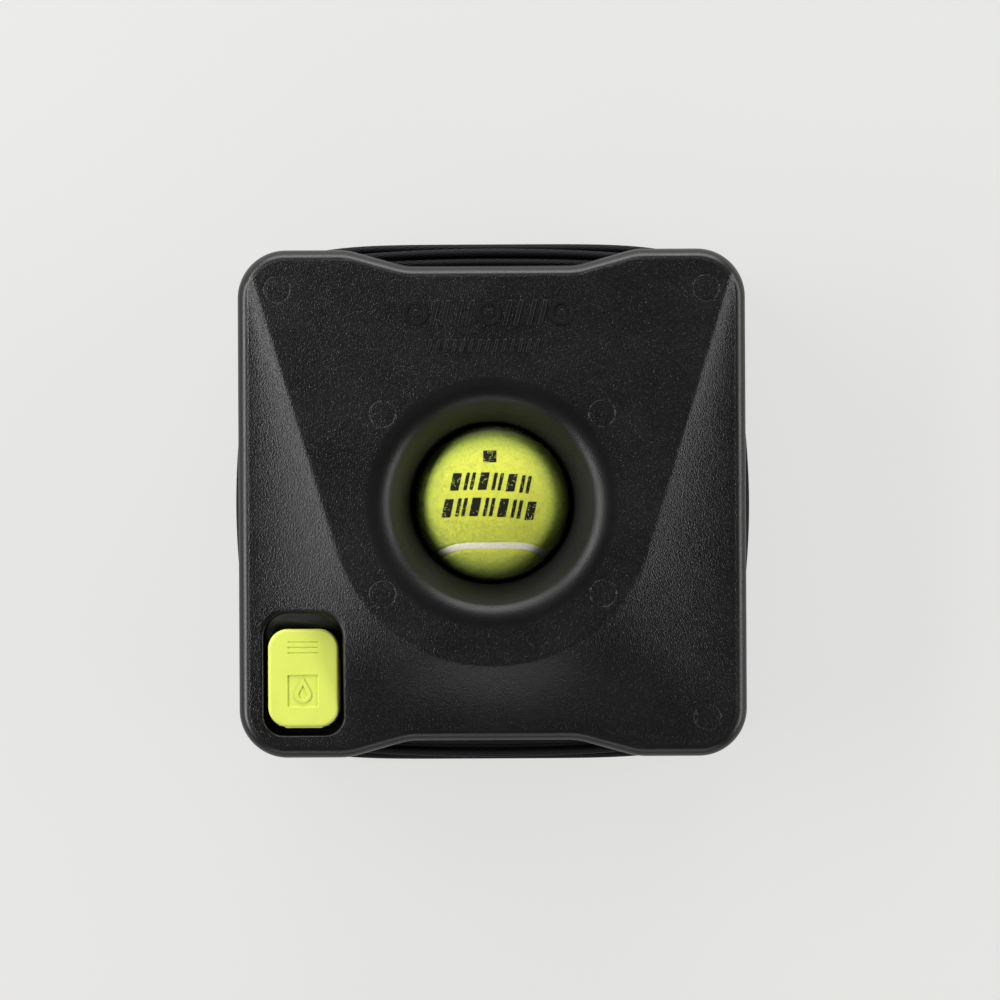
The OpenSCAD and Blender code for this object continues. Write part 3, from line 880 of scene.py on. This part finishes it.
def pocket_rings(outline):
    rings = []
    for a in np.linspace(0, math.pi / 2, 6):
        ring = inset(outline, -LIP * (1 - math.sin(a)))
        rings.append(on_surface(ring, skin, -LIP * (1 - math.cos(a))))
    for d, lift in ((0, 0.8), (0.25, 0.25), (0.8, 0)):
        rings.append(on_surface(inset(outline, d), pocket_floor, lift))
    return rings


def cover_points(outline):
    """Points of the skin: an even grid, with closer rows where the form turns."""
    flat = grid(-HALF, HALF, -HALF, HALF, 2.6)
    reach = fan_reach(np.arctan2(flat[:, 1], flat[:, 0]))
    rows = [flat[np.abs(np.hypot(flat[:, 0], flat[:, 1]) - reach) > 2]]
    a = np.radians(np.arange(0, 360, 0.6))
    for d in (-4, -2, -1, -0.4, 0, 0.4, 1, 2, 4):
        r = fan_reach(a) + d
        rows.append(np.stack([r * np.cos(a), r * np.sin(a)], 1))
    for bx, by in sink_rings():
        rows = [p[np.abs(np.hypot(p[:, 0] - bx, p[:, 1] - by) - SINK_R) > 0.8] for p in rows]
        rows += [circle(bx, by, SINK_R + d, 64) for d in (-0.5, -0.25, -0.12, 0, 0.12, 0.25, 0.5)]
    for d in (1.3, 3):
        rows.append(inset(outline, -LIP - d))
    for d in (0.8, 2.2, 4.2):
        rows.append(inset(RIM_RING, d))
    points = np.concatenate(rows)
    keep = inside(points, inset(RIM_RING, 0.5))
    keep &= ~inside(points, inset(outline, -LIP - 0.6))
    keep &= np.hypot(points[:, 0], points[:, 1]) > FUNNEL_R + 0.9
    return points[keep]


def pocket_outline():
    """The pocket's mouth: its corners are rounder at the finger scoop than at the hinge."""
    cx, cy, w, length, r = POCKET
    scoop, hinge = (rounded(cx, cy, w, length, radius, 14, 1.6) for radius in (SCOOP_R, r))
    points = np.concatenate([scoop[scoop[:, 1] > cy], hinge[hinge[:, 1] <= cy]])
    return points[np.argsort(np.arctan2(points[:, 1] - cy, points[:, 0] - cx))]


def cover_shell():
    cx, cy, w, length, _ = POCKET
    outline = pocket_outline()
    mouth = circle(0, 0, FUNNEL_R, 288)
    shell = Shell()
    shell.fill(RIM_RING, [mouth, inset(outline, -LIP)], skin, cover_points(outline))
    shell.loft(rim_rings())
    shell.loft(funnel_rings(mouth))
    shell.loft(pocket_rings(outline))
    neck = circle(*NECK, NECK_HOLE, 48)
    floor_edge = inset(outline, 0.8)
    spots = grid(cx - w / 2, cx + w / 2, cy - length / 2, cy + length / 2, 2)
    clear = circle(*NECK, NECK_HOLE + 0.8, 48)
    spots = spots[inside(spots, inset(outline, 1.6)) & ~inside(spots, clear)]
    shell.fill(floor_edge, [neck], pocket_floor, spots)
    hem = circle(*NECK, NECK_HOLE - 0.1, 48)
    shell.loft([ring3(neck, POCKET_FLOOR), ring3(hem, POCKET_FLOOR - 0.3)])
    cover = shell.make("cover_shell", up=True, thickness=SHELL_T)
    return dress(cover, "base", "cover_plastic", "cover", ["top_cover"])


def hinge_lugs():
    """Two lugs on the pocket's floor that hold the cap's pin."""
    py, pz = PIN
    foot = POCKET_FLOOR - 0.4
    for side, name in ((-1, "left"), (1, "right")):
        x = CAP_X + side * LUG_X
        shape = np.concatenate([
            arc(py, pz, KNUCKLE_R, -20, 250, 24), [(py - 0.4, foot), (py + 3.2, foot)]])
        shell = Shell()
        rings = []
        for d, dx in ((0.3, -1.5), (0.08, -1.42), (0, -1.2), (0, 1.2), (0.08, 1.42), (0.3, 1.5)):
            rings.append(np.column_stack([np.full(len(shape), x + dx), inset(shape, d)]))
        shell.loft(rings, ends=True)
        dress(shell.make("hinge_lug_" + name), "base", "cover_plastic", "cup")


# ---- raised marks: plain shapes that carry no lettering ----

def slanted_bar(cx, cy, w, h, slant, r=0.35):
    bar = rounded(0, 0, w, h, r, 5)
    return np.stack([bar[:, 0] + bar[:, 1] * math.tan(slant) + cx, bar[:, 1] + cy], 1)


def raised(shell, outline, height):
    """A low plateau with sloping sides on the fan's surface."""
    edge = 0.28
    rings = []
    for d, h in ((0, -0.3), (0, 0.02), (edge * 0.6, height * 0.8), (edge, height)):
        rings.append(on_surface(inset(outline, d), fan, h))
    shell.loft(rings, ends=True)


def raised_ring(shell, cx, cy, r, width, height):
    rings = []
    for d, h in ((0, -0.3), (0, 0.02), (0.2, height),
                 (width - 0.2, height), (width, 0.02), (width, -0.3)):
        rings.append(on_surface(circle(cx, cy, r - d, 48), fan, h))
    shell.loft(rings, wrap=True)


def fan_marks():
    """Three balls between pairs of slanted bars, and a row of small bars under them."""
    shell = Shell()
    row_y, x0, height = 80.6, -1.1, 0.42
    slant = math.radians(14)
    for i in range(7):
        x = x0 + (i - 3) * 10.3
        if i % 3 == 0:
            raised_ring(shell, x, row_y, 5.4, 1.9, height)
            raised(shell, circle(x, row_y, 1.5, 24), height)
        else:
            for side in (-1, 1):
                raised(shell, slanted_bar(x + side * 2.3, row_y, 2.0, 11, slant), height)
    for i in range(14):
        raised(shell, slanted_bar(-3.4 + (i - 6.5) * 3.5, 66.6, 1.5, 5.6, slant, 0.3), height)
    dress(shell.make("fan_marks", sharp=30), "base", "cover_plastic", "mark")


# ---- tray, flanges, feet, cup ----

def turned(name, profile, soft, centre, n, *looks):
    """A lathed piece with softened corners. looks is what dress takes."""
    shell = Shell()
    shell.lathe(softened(profile, soft), centre, n)
    dress(shell.make(name), *looks)


def rounded_copy(node, name, slot, finish, edges):
    """A copy of a CAD shell whose outer edges are rounded. edges lists (height, width) pairs."""
    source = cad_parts[node]
    bm = bmesh.new()
    bm.from_mesh(source.data)
    bmesh.ops.remove_doubles(bm, verts=bm.verts, dist=0.002 * MM)
    bmesh.ops.dissolve_limit(bm, angle_limit=math.radians(0.6), verts=bm.verts, edges=bm.edges)
    for z, width in edges:
        rim = [e for e in bm.edges if len(e.link_faces) == 2 and e.calc_face_angle(0) > 1.0
               and all(abs(v.co.z / MM - z) < 0.05 for v in e.verts)
               and all(max(abs(v.co.x), abs(v.co.y)) / MM > HALF - 10 for v in e.verts)]
        bmesh.ops.bevel(bm, geom=rim, offset=width * MM, segments=4, profile=0.5, affect="EDGES",
                        clamp_overlap=False)
    ob = from_bmesh(name, bm)
    finish_shading(ob, 30)
    ob.modifiers.new("even_faces", "WEIGHTED_NORMAL").keep_sharp = True
    apply_modifiers(ob)
    dress(ob, "base", slot, finish, [node])


def tray_and_flanges():
    for node, name, slot, finish, widths in (
            ("base_tray", "tray_shell", "tray_plastic", "tray", (2.4, 0.5)),
            ("lower_flange", "lower_flange_plate", "drum_plastic", "drum", (0.4, 0.7)),
            ("upper_flange", "upper_flange_plate", "drum_plastic", "drum", (0.7, 0.4))):
        low, high = span(node)
        rounded_copy(node, name, slot, finish, ((low[2], widths[0]), (high[2], widths[1])))


def feet():
    for node in [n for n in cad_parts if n.startswith("foot_")]:
        low, high = span(node)
        x, y = (low[:2] + high[:2]) / 2
        top = high[2]
        r = (high[0] - low[0]) / 2
        profile = [(0, 0.35)]
        for groove in (2.2, 4.4, 6.6):
            profile += [(groove - 0.35, 0), (groove, 0.4), (groove + 0.35, 0)]
        profile += [(r - 0.7, 0), (r, 0.6), (r, 1.6), (r - 0.5, 2.0)]
        profile += [(3, 2.0), (3, top - 0.3), (2.7, top), (0, top)]
        turned(node + "_pad", profile, 0.25, (x, y, 0), 56, "base", "foot_rubber", "rubber", [node])


def seat_cup():
    """Spherical seat, a throat above it and a well below it."""
    seat, wall = BALL_R + 0.3, 2.5
    well, floor, top, bottom, flange = 18, 6.5, 57.5, 4.5, 66
    a0 = math.acos(well / seat)

    def bowl(r, angles):
        return [(r * math.cos(a), BALL_Z - r * math.sin(a)) for a in angles]
    profile = [(0, floor), (well, floor), *bowl(seat, np.linspace(a0, 0, 24))]
    profile += [(MOUTH_R, BALL_Z + 3), (MOUTH_R, top), (flange, top)]
    profile += [(flange, top - wall), (MOUTH_R + wall, top - wall)]
    profile += [*bowl(seat + wall, np.linspace(0, a0, 24)), (well + wall, bottom), (0, bottom)]
    shell = Shell()
    shell.lathe(softened(profile, 0.8, 4), (0, 0, 0), 128)
    dress(shell.make("seat_cup"), "base", "cup_plastic", "cup", ["ball_cup"])


# ---- the filler cap ----

def in_box(x, y, cx, cy, hx, hy, edge):
    """1 inside a box, 0 outside, with a slope of the given width."""
    return smooth((hx - np.abs(x - cx)) / edge + 0.5) * smooth((hy - np.abs(y - cy)) / edge + 0.5)


def drop(cx, cy, r):
    """Outline of a water drop."""
    reach = 2.1
    turn = math.degrees(math.acos(1 / reach))
    round_part = arc(cx, cy, r, 90 + turn, 450 - turn, 34)
    return divided(np.concatenate([round_part, [(cx, cy + reach * r)]]), 0.5)


def step(shell, outline, z0, z1, slope=0.12):
    """A small wall between two levels. The outline stays at z0; gives the edge at z1."""
    grow = slope if z1 < z0 else -slope
    mid = inset(outline, grow * 0.5)
    end = inset(outline, grow)
    edge = inset(end, grow * 0.5)
    shell.loft([ring3(outline, z0), ring3(mid, z0 + (z1 - z0) * 0.15),
                ring3(end, z1 - (z1 - z0) * 0.15), ring3(edge, z1)])
    return edge


def level(z):
    return lambda x, y: np.full(np.shape(x), float(z))


def cap_face(shell, top_edge):
    """The cap's flat top: three grip grooves, and a sunk square that holds a raised drop."""
    slots = [rounded(CAP_X, gy, 13.5, 0.75, 0.36, 6, 1.5) for gy in GROOVES]
    cx, cy, hx, hy = BADGE
    badge = rounded(cx, cy, 2 * hx, 2 * hy, 0.25, 4, 1.5)
    spots = grid(*CAP_SPAN, 1.6)
    keep = inside(spots, inset(top_edge, 0.3))
    for hole in slots + [badge]:
        keep &= ~inside(spots, inset(hole, -0.3))
    shell.fill(top_edge, slots + [badge], level(CAP_Z), spots[keep])
    for slot in slots:
        shell.cap(ring3(step(shell, slot, CAP_Z, CAP_Z - 0.45), CAP_Z - 0.45))
    sunk = CAP_Z - 0.55
    floor = step(shell, badge, CAP_Z, sunk)
    outer, inner = drop(cx, cy - 1.6, 3.2), drop(cx, cy - 1.6, 2.1)
    shell.fill(floor, [outer], level(sunk))
    rim = step(shell, outer[::-1], sunk, sunk + 0.45, -0.12)[::-1]
    shell.fill(rim, [inner], level(sunk + 0.45))
    shell.fill(step(shell, inner, sunk + 0.45, sunk), [], level(sunk))


def cap_under(x, y):
    """Underside: a hollow under the main part, a cross wall, and a plain tab."""
    z = np.where(y > TAB_Y, TAB_Z, HOLLOW_Z)
    across = in_box(x, y, CAP_X, TAB_Y - 0.9, CAP_W / 2 - 1, 0.9, 0.3)
    return z + (SKIRT_Z - z) * across


def cap_flap():
    outline = rounded(CAP_X, CAP_Y, CAP_W, CAP_L, CAP_R, 14, 1.0)
    edge = 1.25
    bottom = SKIRT_Z + (TAB_Z - SKIRT_Z) * smooth((outline[:, 1] - TAB_Y) / 0.9)
    skirt = 1 - smooth((outline[:, 1] - TAB_Y) / 1.4)
    by_lugs = (np.abs(outline[:, 0] - CAP_X) < LUG_SLOT[0]) & (outline[:, 1] < PIN[0])
    bottom[by_lugs] = LUG_SLOT[1]
    shell = Shell()
    rings = []
    for a in np.linspace(0, math.pi / 2, 7):
        ring = inset(outline, edge * (1 - math.sin(a)))
        rings.append(ring3(ring, CAP_Z - edge * (1 - math.cos(a))))
    for t in (0.35, 0.7, 0.97, 1.0):
        out = 0.55 * skirt * t - (0.15 if t == 1 else 0)
        ring = np.array([inset(outline, -o)[i] for i, o in enumerate(out)])
        rings.append(ring3(ring, CAP_Z - edge + (bottom - CAP_Z + edge) * t))
    inner = inset(outline, 1.7)
    rings += [ring3(inset(outline, 1.3), bottom), ring3(inner, bottom + 0.15),
              on_surface(inner, cap_under)]
    shell.loft(rings)
    cap_face(shell, inset(outline, edge))
    below = np.concatenate([
        grid(*CAP_SPAN, 2), grid(*CAP_SPAN[:2], TAB_Y - 2.1, TAB_Y + 0.3, 0.3)])
    shell.fill(inner, [], cap_under, below[inside(below, inset(inner, 0.4))])
    py, pz = PIN
    knuckle = [(1.05, -1.7), (KNUCKLE_R, -1.7), (KNUCKLE_R, 1.7), (1.05, 1.7), (1.05, -1.7)]
    for x in (CAP_X - KNUCKLE_X, CAP_X + KNUCKLE_X):
        shell.lathe(softened(knuckle, 0.3), (x, py, pz), 40, "x")
        web = rounded(x, py, 3.0, 2.6, 0.4, 4)
        shell.loft([ring3(web, pz + 1.4), ring3(web, CAP_Z - 1)], ends=True)
    dress(shell.make("cap_flap", sharp=42), "cap", "cap_plastic", "cap", ["filler_cap"])


def cap_underside():
    """The plug that closes the filler neck, and the ring that seals its rim."""
    plug = [(0, 62.3), (3.2, 62.3), (3.4, 62), (5.4, 62), (6, 62.6), (6, 63.4), (5.7, 63.7),
            (6, 64.1), (6, HOLLOW_Z), (0, HOLLOW_Z)]
    turned("rubber_stopper", plug, 0.25, (*NECK, 0), 48,
           "cap", "stopper_rubber", "stopper", ["cap_stopper"])
    ring = [(6.1, HOLLOW_Z), (6.1, 64.6), (6.5, 64.35), (7.0, 64.7), (7.5, 64.35), (8.1, 64.35),
            (8.6, 64.8), (8.6, HOLLOW_Z), (6.1, HOLLOW_Z)]
    turned("neck_seal", ring, 0.25, (*NECK, 0), 56, "cap", "seal_rubber", "rubber", ["cap_seal"])


def filler_neck():
    foot, top = (corner[2] for corner in span("filler_neck"))
    outside = [(7.4, foot), (7.4, foot + 2), (8.5, foot + 2), (8.5, top - 3.2), (8.2, top - 3),
               (8.2, top - 2.4), (8.5, top - 2.2), (8.5, top - 0.5), (8.1, top)]
    inside_wall = [(7.1, top), (6.5, top - 0.6), (6.5, foot), (7.4, foot)]
    turned("neck_tube", outside + inside_wall, 0.25, (*NECK, 0), 64,
           "base", "tank_plastic", "tank", ["filler_neck"])


# ---- the ball ----

SEAM_A, SEAM_B, SEAM_FLAT = 0.898, 0.102, 0.07     # the two waves of the seam, and its flattening
SEAM_TILT = math.radians(19.2)
SEAM_HALF = 1.85                         # half of its width
PRINT_X, PRINT_Y = (-20, 20), (-7, 23)   # the printed area, where few loose fibres stand


def seam_curve(n=720):
    """Closed seam on the unit sphere, turned as the stored ball lies."""
    t = np.linspace(0, 2 * math.pi, n, endpoint=False)
    x = SEAM_A * np.cos(t) + SEAM_B * np.cos(3 * t)
    y = SEAM_A * np.sin(t) - SEAM_B * np.sin(3 * t)
    wave = np.sin(2 * t) + SEAM_FLAT * np.sin(6 * t)
    z = 2 * math.sqrt(SEAM_A * SEAM_B) * wave / (1 - SEAM_FLAT)
    x, y = (x - y) / math.sqrt(2), (x + y) / math.sqrt(2)
    cos, sin = math.cos(SEAM_TILT), math.sin(SEAM_TILT)
    y, z = y * cos + z * sin, z * cos - y * sin
    return unit_rows(np.stack([x, y, z], 1))


SEAM = seam_curve()


def seam_distance(unit):
    """Distance along the ball's surface to the seam, for rows of unit vectors."""
    near = np.concatenate([(part @ SEAM.T).max(1) for part in np.array_split(unit, 40)])
    return BALL_R * np.arccos(np.clip(near, -1, 1))


def felt_radius(unit):
    """Radius of the felt: tufts, and a channel along the seam."""
    tufts = np.array([noise.fractal(Vector(u * 30), 0.8, 2.1, 3) for u in unit])
    away = smooth((seam_distance(unit) - SEAM_HALF + 0.25) / 1.3)
    return BALL_R - 0.16 + 0.11 * np.clip(tufts, -1, 1) - 0.42 * (1 - away)


def felt_ball():
    bm = bmesh.new()
    bmesh.ops.create_icosphere(bm, subdivisions=7, radius=1.0)
    ball = from_bmesh("felt_cover", bm)
    verts = ball.data.vertices
    unit = np.zeros(len(verts) * 3)
    verts.foreach_get("co", unit)
    unit = unit_rows(unit.reshape(-1, 3))
    points = unit * felt_radius(unit)[:, None] + (0, 0, BALL_Z)
    verts.foreach_set("co", (points * MM).ravel())
    finish_shading(ball, 180)
    dress(ball, "ball", "ball_felt", "felt", ["ball_felt"])


def seam_band():
    """Rubber strip in the seam's channel."""
    ahead = np.roll(SEAM, -1, 0) - np.roll(SEAM, 1, 0)
    side = unit_rows(np.cross(SEAM, ahead))
    rings = []
    for across, r in ((-1.95, -1.2), (-1.95, -0.75), (-1.5, -0.5), (-0.8, -0.42), (0, -0.4),
                      (0.8, -0.42), (1.5, -0.5), (1.95, -0.75), (1.95, -1.2)):
        rings.append(unit_rows(SEAM + side * across / BALL_R) * (BALL_R + r) + (0, 0, BALL_Z))
    shell = Shell()
    shell.loft(rings, wrap=True)
    dress(shell.make("seam_band"), "ball", "ball_rubber", "seam")


def fuzz():
    """Loose fibres that stand off the felt, as thin curved slips."""
    count, over_print = 17000, 0.3
    unit = unit_rows(RNG.normal(size=(count, 3)))
    x, y, z = unit.T * BALL_R
    printed = (z > 0) & (x > PRINT_X[0]) & (x < PRINT_X[1]) & (y > PRINT_Y[0]) & (y < PRINT_Y[1])
    chosen = ~printed | (RNG.random(count) < over_print)
    unit = unit[(seam_distance(unit) > SEAM_HALF + 0.5) & chosen]
    n = len(unit)
    comb = unit_rows(np.cross(unit, RNG.normal(size=(n, 3))))
    across = np.cross(unit, comb)
    length = RNG.uniform(0.7, 2.0, n)[:, None]
    lift = np.where(unit[:, 2:] > 0.0,
                    RNG.uniform(0.25, 1.2, (n, 1)), RNG.uniform(0.02, 0.1, (n, 1)))
    curl = RNG.uniform(-0.5, 0.5, n)[:, None]
    root = unit * (felt_radius(unit)[:, None] - 0.05)
    verts, faces = [], []
    for t, width in ((0, 0.075), (0.4, 0.07), (0.75, 0.05)):
        at = (root + comb * length * t + unit * lift * length * t * (1.35 - t)
              + across * curl * length * t * t)
        verts += [at - across * width, at + across * width]
    verts.append(root + comb * length + unit * lift * length * 0.35 + across * curl * length)
    flat = np.stack(verts, 1).reshape(-1, 3) + (0, 0, BALL_Z)
    for i in range(n):
        b = 7 * i
        faces += [[b, b + 1, b + 3, b + 2], [b + 2, b + 3, b + 5, b + 4], [b + 4, b + 5, b + 6]]
    mesh = bpy.data.meshes.new("felt_fuzz")
    mesh.from_pydata((flat * MM).tolist(), [], faces)
    ob = new_object("felt_fuzz", mesh)
    dress(ob, "ball", "ball_felt", "fuzz")


def printed_marks():
    """Print on the ball: a plain square over two rows of slanted bars."""
    def height(x, y):
        flat = np.stack([x, y, np.sqrt(BALL_R ** 2 - x * x - y * y)], 1) / BALL_R
        return flat[:, 2] * (felt_radius(flat) + 0.12) + BALL_Z
    shapes = [rounded(-0.9, 19.8, 5.6, 5.0, 0.4, 5)]
    slant = math.radians(12)
    for y, count, pitch, h, x0 in ((9.2, 6, 5.9, 7.4, -0.6), (-1.7, 7, 5.85, 7.8, -1.3)):
        for i in range(count):
            for side, w in ((-1, 1.45), (1, 1.45)) if i % 2 else ((0, 3.7),):
                x = x0 + (i - (count - 1) / 2) * pitch + 1.3 * side
                shapes.append(slanted_bar(x, y - 0.0035 * x * x - 0.045 * x, w, h, slant, 0.4))
    shell = Shell()
    for shape in shapes:
        edge = divided(shape, 0.5)
        low, high = edge.min(0), edge.max(0)
        spots = grid(low[0], high[0], low[1], high[1], 0.5)
        shell.fill(edge, [], height, spots[inside(spots, inset(shape, 0.2))])
    dress(shell.make("ball_print", up=True, thickness=0.12), "ball", "ball_felt", "ink")


# ---- carried-over CAD nodes ----

def dress_nodes():
    finishes = {
        "winding_drum": "drum", "tank_shell": "tank", "tank_lid": "tank", "cap_hinge_pin": "pin",
        "corner_screws": "steel", "cup_screws": "steel", "ball_core": "core",
        "ball_eyelet": "nylon", "cord_anchor": "steel", "cord_grommet": "rubber"}
    for node, finish in finishes.items():
        paint(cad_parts[node], finish)


# ---- studio ----

LIT_POINT = (0, 0, 0.05)

def area_light(name, place, size, power):
    data = bpy.data.lights.new(name, "AREA")
    data.shape = "RECTANGLE"
    data.size, data.size_y = size
    data.energy = power
    lamp = new_object(name, data)
    lamp.location = place
    lamp.rotation_euler = (Vector(LIT_POINT) - Vector(place)).to_track_quat("-Z", "Y").to_euler()


def studio():
    mesh = bpy.data.meshes.new("floor")
    s = 6.0
    mesh.from_pydata([(-s, -s, 0), (s, -s, 0), (s, s, 0), (-s, s, 0)], [], [[0, 1, 2, 3]])
    floor = new_object("floor", mesh)
    paint(floor, "floor")
    area_light("softbox_left", (-1.40, 0.22, 0.90), (2.2, 0.5), 39)
    area_light("softbox_rear", (0.0, 1.58, 0.52), (2.0, 0.85), 34)
    area_light("softbox_right", (1.52, 0.0, 0.70), (1.9, 0.5), 21)
    area_light("softbox_front", (0.0, -1.54, 0.70), (1.7, 0.45), 6.5)
    world = bpy.data.worlds.new("studio")
    bpy.context.scene.world = world
    world.use_nodes = True
    glow = world.node_tree.nodes["Background"].inputs
    glow["Color"].default_value = (1, 1, 1, 1)
    glow["Strength"].default_value = 0.03
    bpy.context.scene.view_settings.view_transform = "Standard"


camera()
cord, cord_path, cord_length = elastic_cord()
hook = end_hook()
for build in (studio, cover_shell, hinge_lugs, fan_marks, tray_and_flanges, feet, seat_cup,
              cap_flap, cap_underside, filler_neck, felt_ball, seam_band, fuzz, printed_marks,
              dress_nodes):
    build()
